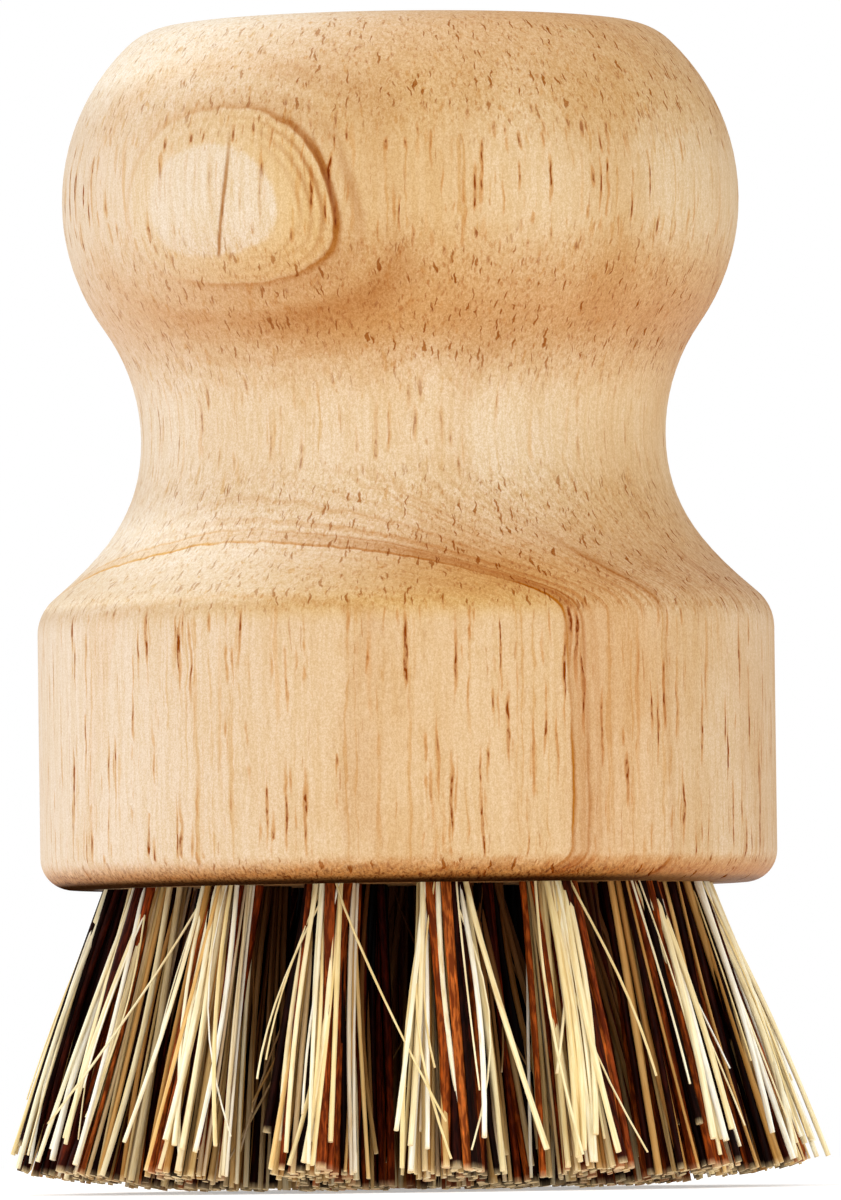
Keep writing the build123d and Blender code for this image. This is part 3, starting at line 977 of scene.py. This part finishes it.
def add_folded(tuft, shares):
    """Folded fibres, packed in the hole and fanning out below it."""
    dice = tuft.dice
    spots = []
    for n in range(PAIRS_PER_TUFT):
        radius = PACKED_RADIUS * math.sqrt((n + 0.5) / PAIRS_PER_TUFT)
        angle = n * PACKING_TURN + dice.uniform(-PACKING_CHANCE, PACKING_CHANCE)
        spots.append((radius * math.cos(angle), max(HALF_GAP, abs(radius * math.sin(angle)))))
    spots.sort()
    roots, tips, fibres = [], [], []
    for (x, y), kind in zip(spots, pick_kinds(dice, shares)):
        width, stray, tint = pick_fibre(dice, kind)
        for root in ((x, y), (x * dice.uniform(*SECOND_ROOTS), -y)):
            roots.append([*root, width * ROOT_CROWDING])
            tip = [c * TIP_SPREAD + dice.gauss(0, stray) for c in root]
            tips.append([*tip, width * TIP_CROWDING])
        fibres.append((width, tint))
    spread_apart(roots, HOLE_RADIUS)
    spread_apart(tips, TIP_LIMIT)
    for n, (width, tint) in enumerate(fibres):
        pair = slice(2 * n, 2 * n + 2)
        ends = []
        for root, tip in zip(roots[pair], tips[pair]):
            bow = (dice.gauss(0, BOW_CHANCE), dice.gauss(0, BOW_CHANCE))
            cut = dice.uniform(*CUT_HEIGHTS) * MM
            if dice.random() < SHORT_SHARE:
                cut += dice.uniform(*SHORT_HEIGHTS) * MM
            ends.append(tuft.free_path(root, tip, bow, cut))
        path = list(reversed(ends[0])) + tuft.fold_path(*roots[pair]) + ends[1]
        gains = [depth_shade(tip) for tip in tips[pair]]
        tuft.tube(path, width, dice.uniform(*FLATNESSES), tint, gains)


def add_loose(tuft, widths, sway, cuts):
    """A pale fibre on the tuft's outer face, which crosses the others."""
    dice = tuft.dice
    width = dice.uniform(*widths) * MM
    cut = dice.uniform(*cuts) * MM
    root = (dice.uniform(*LOOSE_ROOT_X) * MM, dice.uniform(*LOOSE_ROOT_Y) * MM)
    tip_x = root[0] * LOOSE_FAN + dice.gauss(0, sway) * MM
    tip = (tip_x, dice.gauss(*LOOSE_TIP_Y) * MM)
    bow = (dice.gauss(0, LOOSE_BOW_X * sway) * MM, dice.gauss(*LOOSE_BOW_Y) * MM)
    path = tuft.free_path(root, tip, bow, cut)
    path.insert(0, tuft.at(*root, LOOSE_ROOT_DEPTH * MM))
    colour = linear(*dice.choice(PALE_COLOURS))
    tuft.tube(path, width, LOOSE_FLATNESS, colour, (1.0, 1.0))


def make_tuft(name, tuft, shares, material):
    """A tuft's fibres, in place of its solid."""
    add_folded(tuft, shares)
    for kind, count in ((LOOSE, LOOSE_PER_TUFT), (HAIR, HAIRS_PER_TUFT)):
        for _ in range(count):
            add_loose(tuft, *kind)
    piece = bpy.data.objects.new(f"{name}_fibres", tuft.mesh(f"{name}_fibres"))
    piece.data.materials.append(material)
    bpy.context.collection.objects.link(piece)
    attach(piece, "root")
    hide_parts(name)


def make_tufts(material):
    seed = FIRST_SEED
    for ring, count, radius, first, *shades in RINGS:
        outer = ring == "outer"
        shade_reach = OUTER_SHADE_REACH if outer else INNER_SHADE_REACH
        shares = OUTER_SHARES if outer else INNER_SHARES
        for number in range(count):
            angle = math.radians(first + 360.0 * number / count)
            name = f"tuft_{ring}" if count == 1 else f"tuft_{ring}_{number + 1:02d}"
            tuft = Tuft(angle, radius, shades, shade_reach, seed)
            make_tuft(name, tuft, shares, material)
            seed += 1


def dress_cad(wood, steel):
    """Gives the carried-over solids their materials."""
    for name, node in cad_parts.items():
        if name.startswith("tuft_"):
            continue
        node.data.materials.clear()
        node.data.materials.append(wood if name == "handle_block" else steel)


def make_floor():
    mesh = bpy.data.meshes.new("floor")
    corners = []
    for n in range(FLOOR_SIDES):
        angle = math.tau * n / FLOOR_SIDES
        corners.append((FLOOR_RADIUS * math.cos(angle), FLOOR_RADIUS * math.sin(angle), 0))
    mesh.from_pydata(corners, [], [tuple(range(FLOOR_SIDES))])
    floor = bpy.data.objects.new("floor", mesh)
    floor.data.materials.append(floor_material())
    bpy.context.collection.objects.link(floor)


def light_world():
    """The camera sees the world in white. Its light on the brush is weaker."""
    world = bpy.data.worlds.new("studio")
    bpy.context.scene.world = world
    world.use_nodes = True
    nodes, links = world.node_tree.nodes, world.node_tree.links
    nodes.clear()
    seen = nodes.new("ShaderNodeBackground")
    seen.inputs["Color"].default_value = (1, 1, 1, 1)
    seen.inputs["Strength"].default_value = SEEN_STRENGTH
    sky = nodes.new("ShaderNodeBackground")
    sky.inputs["Color"].default_value = SKY_COLOUR
    sky.inputs["Strength"].default_value = SKY_STRENGTH
    rays = nodes.new("ShaderNodeLightPath")
    mix = nodes.new("ShaderNodeMixShader")
    output = nodes.new("ShaderNodeOutputWorld")
    links.new(rays.outputs["Is Camera Ray"], mix.inputs[0])
    links.new(sky.outputs[0], mix.inputs[1])
    links.new(seen.outputs[0], mix.inputs[2])
    links.new(mix.outputs[0], output.inputs["Surface"])


def make_lights():
    """Square area lights that face the brush."""
    for name, place, size, power in LIGHTS:
        light = bpy.data.lights.new(name, "AREA")
        light.size = size
        light.energy = power
        lamp = bpy.data.objects.new(name, light)
        lamp.location = place
        aim = Vector(LIGHT_TARGET) - Vector(place)
        lamp.rotation_euler = aim.to_track_quat("-Z", "Y").to_euler()
        bpy.context.collection.objects.link(lamp)


def make_camera():
    """The photograph's view: from far off, near the floor, tipped up a little."""
    camera = bpy.data.cameras.new("camera")
    camera.sensor_fit = "AUTO"
    camera.sensor_width = SENSOR_WIDTH
    camera.lens = SENSOR_WIDTH * CAMERA_DISTANCE / (PHOTO_HEIGHT * PIXEL)
    camera.clip_start, camera.clip_end = CLIP_DISTANCES
    holder = bpy.data.objects.new("camera", camera)
    pitch = math.atan((HORIZON_ROW - PHOTO_HEIGHT / 2) * PIXEL / CAMERA_DISTANCE)
    side = (PHOTO_WIDTH / 2 - AXIS_COLUMN) * PIXEL
    height = (FLOOR_ROW - HORIZON_ROW) * PIXEL
    turn = Matrix.Rotation(math.pi / 2 + pitch, 4, "X") @ Matrix.Rotation(CAMERA_ROLL, 4, "Z")
    holder.matrix_world = Matrix.Translation((side, -CAMERA_DISTANCE, height)) @ turn
    bpy.context.collection.objects.link(holder)
    bpy.context.scene.camera = holder


bpy.context.scene.view_settings.view_transform = "Standard"
make_camera()
light_world()
make_lights()
make_floor()
dress_cad(Wood().material, steel_material())
make_tufts(fibre_material())
